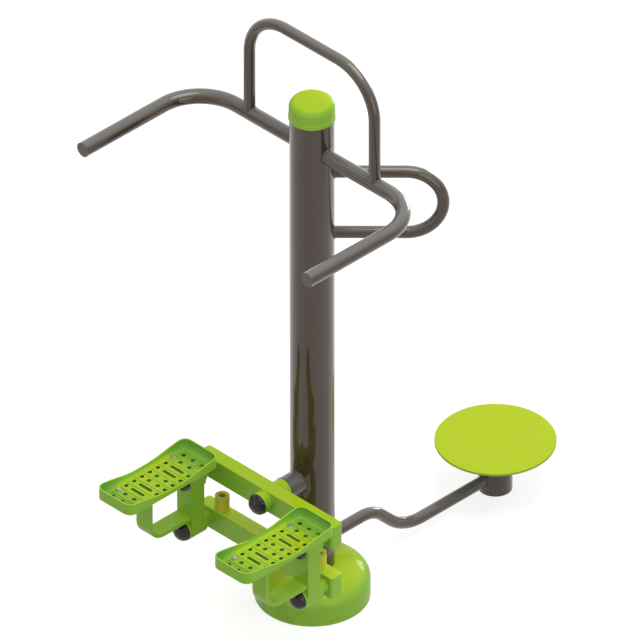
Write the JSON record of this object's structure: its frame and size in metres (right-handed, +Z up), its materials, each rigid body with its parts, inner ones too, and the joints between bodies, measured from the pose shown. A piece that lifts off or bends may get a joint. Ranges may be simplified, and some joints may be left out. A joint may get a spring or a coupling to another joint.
{
  "type": "outdoor stepper and twister",
  "caption": "Outdoor exercise station on one post: parallel-linkage stepper with perforated pedal trays, turning standing disc, handlebars and a domed base cover.",
  "frame": {"origin": "on the post's axis, at the ground under the base plate", "axes": "+Z up along the post, -Y towards the stepper, +Y towards the twister's disc, +X to the right pedal's side"},
  "size_m": [0.84, 1.315, 1.7075],
  "materials": {
    "brown_paint": "gloss brown powder coat",
    "lime_paint": "gloss lime powder coat",
    "tray_paint": "gloss lime powder coat, worn on the floor",
    "disc_paint": "satin yellow-green powder coat",
    "black_plastic": "gloss black",
    "zinc_steel": "hot-dip zinc",
    "bright_steel": "turned and zinc plated",
    "bush_bronze": "satin bearing bronze",
    "yellow_rubber": "satin cast polyurethane"
  },
  "bodies": {
    "stand": {"base_plate": "zinc_steel", "base_gussets": "brown_paint", "post": "brown_paint", "base_cover": "lime_paint", "post_cap": "lime_paint", "handlebar": "brown_paint", "handlebar_plugs": "brown_paint", "arch_loop": "brown_paint", "side_loop_right": "brown_paint", "side_loop_left": "brown_paint", "upper_stub": "brown_paint", "lower_stub": "brown_paint", "upper_axle": "bright_steel", "lower_axle": "bright_steel", "twister_arm": "brown_paint", "twister_hub": "brown_paint", "twister_foot": "zinc_steel", "twister_bearings": "bright_steel"},
    "twister": {"twister_spindle": "zinc_steel", "twister_disc": "disc_paint"},
    "upper_rocker": {"upper_beam": "lime_paint", "upper_sleeve": "lime_paint", "upper_bearings": "bright_steel", "upper_hub_cap": "black_plastic", "upper_pins": "bright_steel", "upper_spacers": "lime_paint"},
    "lower_rocker": {"lower_beam": "lime_paint", "lower_sleeve": "lime_paint", "lower_bearings": "bright_steel", "lower_hub_cap": "black_plastic", "lower_pins": "bright_steel", "lower_spacers": "lime_paint", "buffers": "yellow_rubber", "buffer_screws": "bright_steel"},
    "left_pedal": {"left_bracket": "lime_paint", "left_bushes": "bush_bronze", "left_tray": "tray_paint", "left_tray_bolts": "bright_steel", "left_pin_caps": "black_plastic"},
    "right_pedal": {"right_bracket": "lime_paint", "right_bushes": "bush_bronze", "right_tray": "tray_paint", "right_tray_bolts": "bright_steel", "right_pin_caps": "black_plastic"}
  },
  "joints": [
    {"name": "upper_swing", "type": "hinge", "parent": "stand", "child": "upper_rocker", "pos_m": [0, -0.1485, 0.373], "axis": [0, 1, 0], "range_deg": [-15, 15]},
    {"name": "lower_swing", "type": "hinge", "parent": "stand", "child": "lower_rocker", "pos_m": [0, -0.1485, 0.217], "axis": [0, 1, 0], "range_deg": [-15, 15]},
    {"name": "left_level", "type": "hinge", "parent": "upper_rocker", "child": "left_pedal", "pos_m": [-0.209, -0.22, 0.373], "axis": [0, 1, 0], "range_deg": [-15, 15]},
    {"name": "right_level", "type": "hinge", "parent": "upper_rocker", "child": "right_pedal", "pos_m": [0.209, -0.22, 0.373], "axis": [0, 1, 0], "range_deg": [-15, 15]},
    {"name": "disc_spin", "type": "hinge", "parent": "stand", "child": "twister", "pos_m": [0, 0.657, 0.146], "axis": [0, 0, 1], "continuous": true}
  ],
  "couplings": [
    {"joint": "lower_swing", "follows": "upper_swing", "ratio": 1},
    {"joint": "left_level", "follows": "upper_swing", "ratio": -1},
    {"joint": "right_level", "follows": "upper_swing", "ratio": -1}
  ]
}
